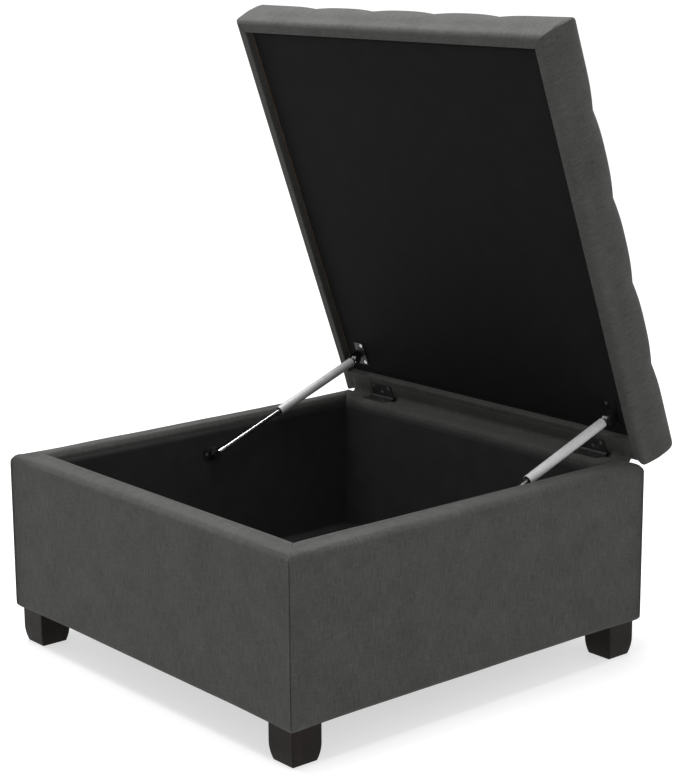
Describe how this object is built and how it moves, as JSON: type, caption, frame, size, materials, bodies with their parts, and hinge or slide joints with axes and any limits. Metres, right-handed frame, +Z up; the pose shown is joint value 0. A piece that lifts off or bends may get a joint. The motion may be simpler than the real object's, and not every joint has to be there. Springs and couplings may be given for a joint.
{
  "type": "storage ottoman",
  "caption": "Square upholstered storage ottoman on block feet, with a tufted padded lid that is hinged along one side and held open by two gas struts.",
  "frame": {"origin": "on the floor, under the middle of the ottoman's extents with its lid open as modelled; the middle of the box's own footprint is 41.3 mm in front of it", "axes": "+X to the right seen from the front, +Y to the hinge side at the back, +Z up"},
  "size_m": [0.82, 0.8964, 1.1543],
  "materials": {
    "upholstery": "matte",
    "black_lining": "matte",
    "foam": "matte",
    "plywood": "matte",
    "softwood": "matte",
    "foot_wood": "satin",
    "hinge_black": "satin",
    "zinc_steel": "satin",
    "chrome": "polished",
    "strut_grey": "satin",
    "black_plastic": "matte"
  },
  "bodies": {
    "base": {"side_panel_front": "plywood", "side_panel_right": "plywood", "side_panel_back": "plywood", "side_panel_left": "plywood", "top_rail_front": "softwood", "top_rail_right": "softwood", "top_rail_back": "softwood", "top_rail_left": "softwood", "base_cover_front": "upholstery", "base_cover_right": "upholstery", "base_cover_back": "upholstery", "base_cover_left": "upholstery", "bottom_board": "plywood", "base_foam": "foam", "storage_lining": "black_lining", "dust_cover": "black_lining", "foot_front_left": "foot_wood", "foot_front_right": "foot_wood", "foot_back_left": "foot_wood", "foot_back_right": "foot_wood", "foot_bolts": "zinc_steel", "foot_t_nuts": "zinc_steel", "hinge_base_leaf_left": "hinge_black", "hinge_base_leaf_right": "hinge_black", "hinge_pins": "hinge_black", "hinge_flap_lower": "upholstery", "base_screws": "zinc_steel", "wall_bracket_left": "chrome", "wall_bracket_right": "chrome"},
    "lid": {"lid_cover": "upholstery", "lid_foam": "foam", "tuft_buttons": "upholstery", "lid_board": "plywood", "lid_rail_front": "softwood", "lid_rail_right": "softwood", "lid_rail_back": "softwood", "lid_rail_left": "softwood", "lid_lining": "black_lining", "hinge_flap_upper": "upholstery", "lid_screws": "zinc_steel", "hinge_lid_leaf_left": "hinge_black", "hinge_lid_leaf_right": "hinge_black", "lid_bracket_left": "chrome", "lid_bracket_right": "chrome"},
    "strut_rod_left": {"strut_rod_left": "chrome", "strut_rod_socket_left": "chrome", "strut_piston_left": "black_plastic"},
    "strut_tube_left": {"strut_tube_left": "strut_grey", "strut_gland_left": "black_plastic", "strut_tube_socket_left": "chrome", "lid_ball_stud_left": "chrome"},
    "strut_rod_right": {"strut_rod_right": "chrome", "strut_rod_socket_right": "chrome", "strut_piston_right": "black_plastic"},
    "strut_tube_right": {"strut_tube_right": "strut_grey", "strut_gland_right": "black_plastic", "strut_tube_socket_right": "chrome", "lid_ball_stud_right": "chrome"}
  },
  "joints": [
    {"name": "lid_hinge", "type": "hinge", "parent": "base", "child": "lid", "pos_m": [0, 0.3657, 0.362], "axis": [1, 0, 0], "range_deg": [0, 70], "stiffness_Nm_per_rad": 14, "springref_deg": -54.43},
    {"name": "strut_swing_left", "type": "hinge", "parent": "base", "child": "strut_rod_left", "pos_m": [-0.348, -0.0263, 0.299], "axis": [1, 0, 0], "range_deg": [-9.45, 0]},
    {"name": "strut_extend_left", "type": "slide", "parent": "strut_rod_left", "child": "strut_tube_left", "axis": [0, 0.9342, 0.3567], "range_m": [-0.07264, 0]},
    {"name": "strut_swing_right", "type": "hinge", "parent": "base", "child": "strut_rod_right", "pos_m": [0.348, -0.0263, 0.299], "axis": [1, 0, 0], "range_deg": [-9.45, 0]},
    {"name": "strut_extend_right", "type": "slide", "parent": "strut_rod_right", "child": "strut_tube_right", "axis": [0, 0.9342, 0.3567], "range_m": [-0.07264, 0]}
  ],
  "couplings": [
    {"joint": "strut_swing_left", "follows": "lid_hinge", "ratio": -0.13498},
    {"joint": "strut_extend_left", "follows": "lid_hinge", "m_per_rad": -0.059455},
    {"joint": "strut_swing_right", "follows": "lid_hinge", "ratio": -0.13498},
    {"joint": "strut_extend_right", "follows": "lid_hinge", "m_per_rad": -0.059455}
  ]
}
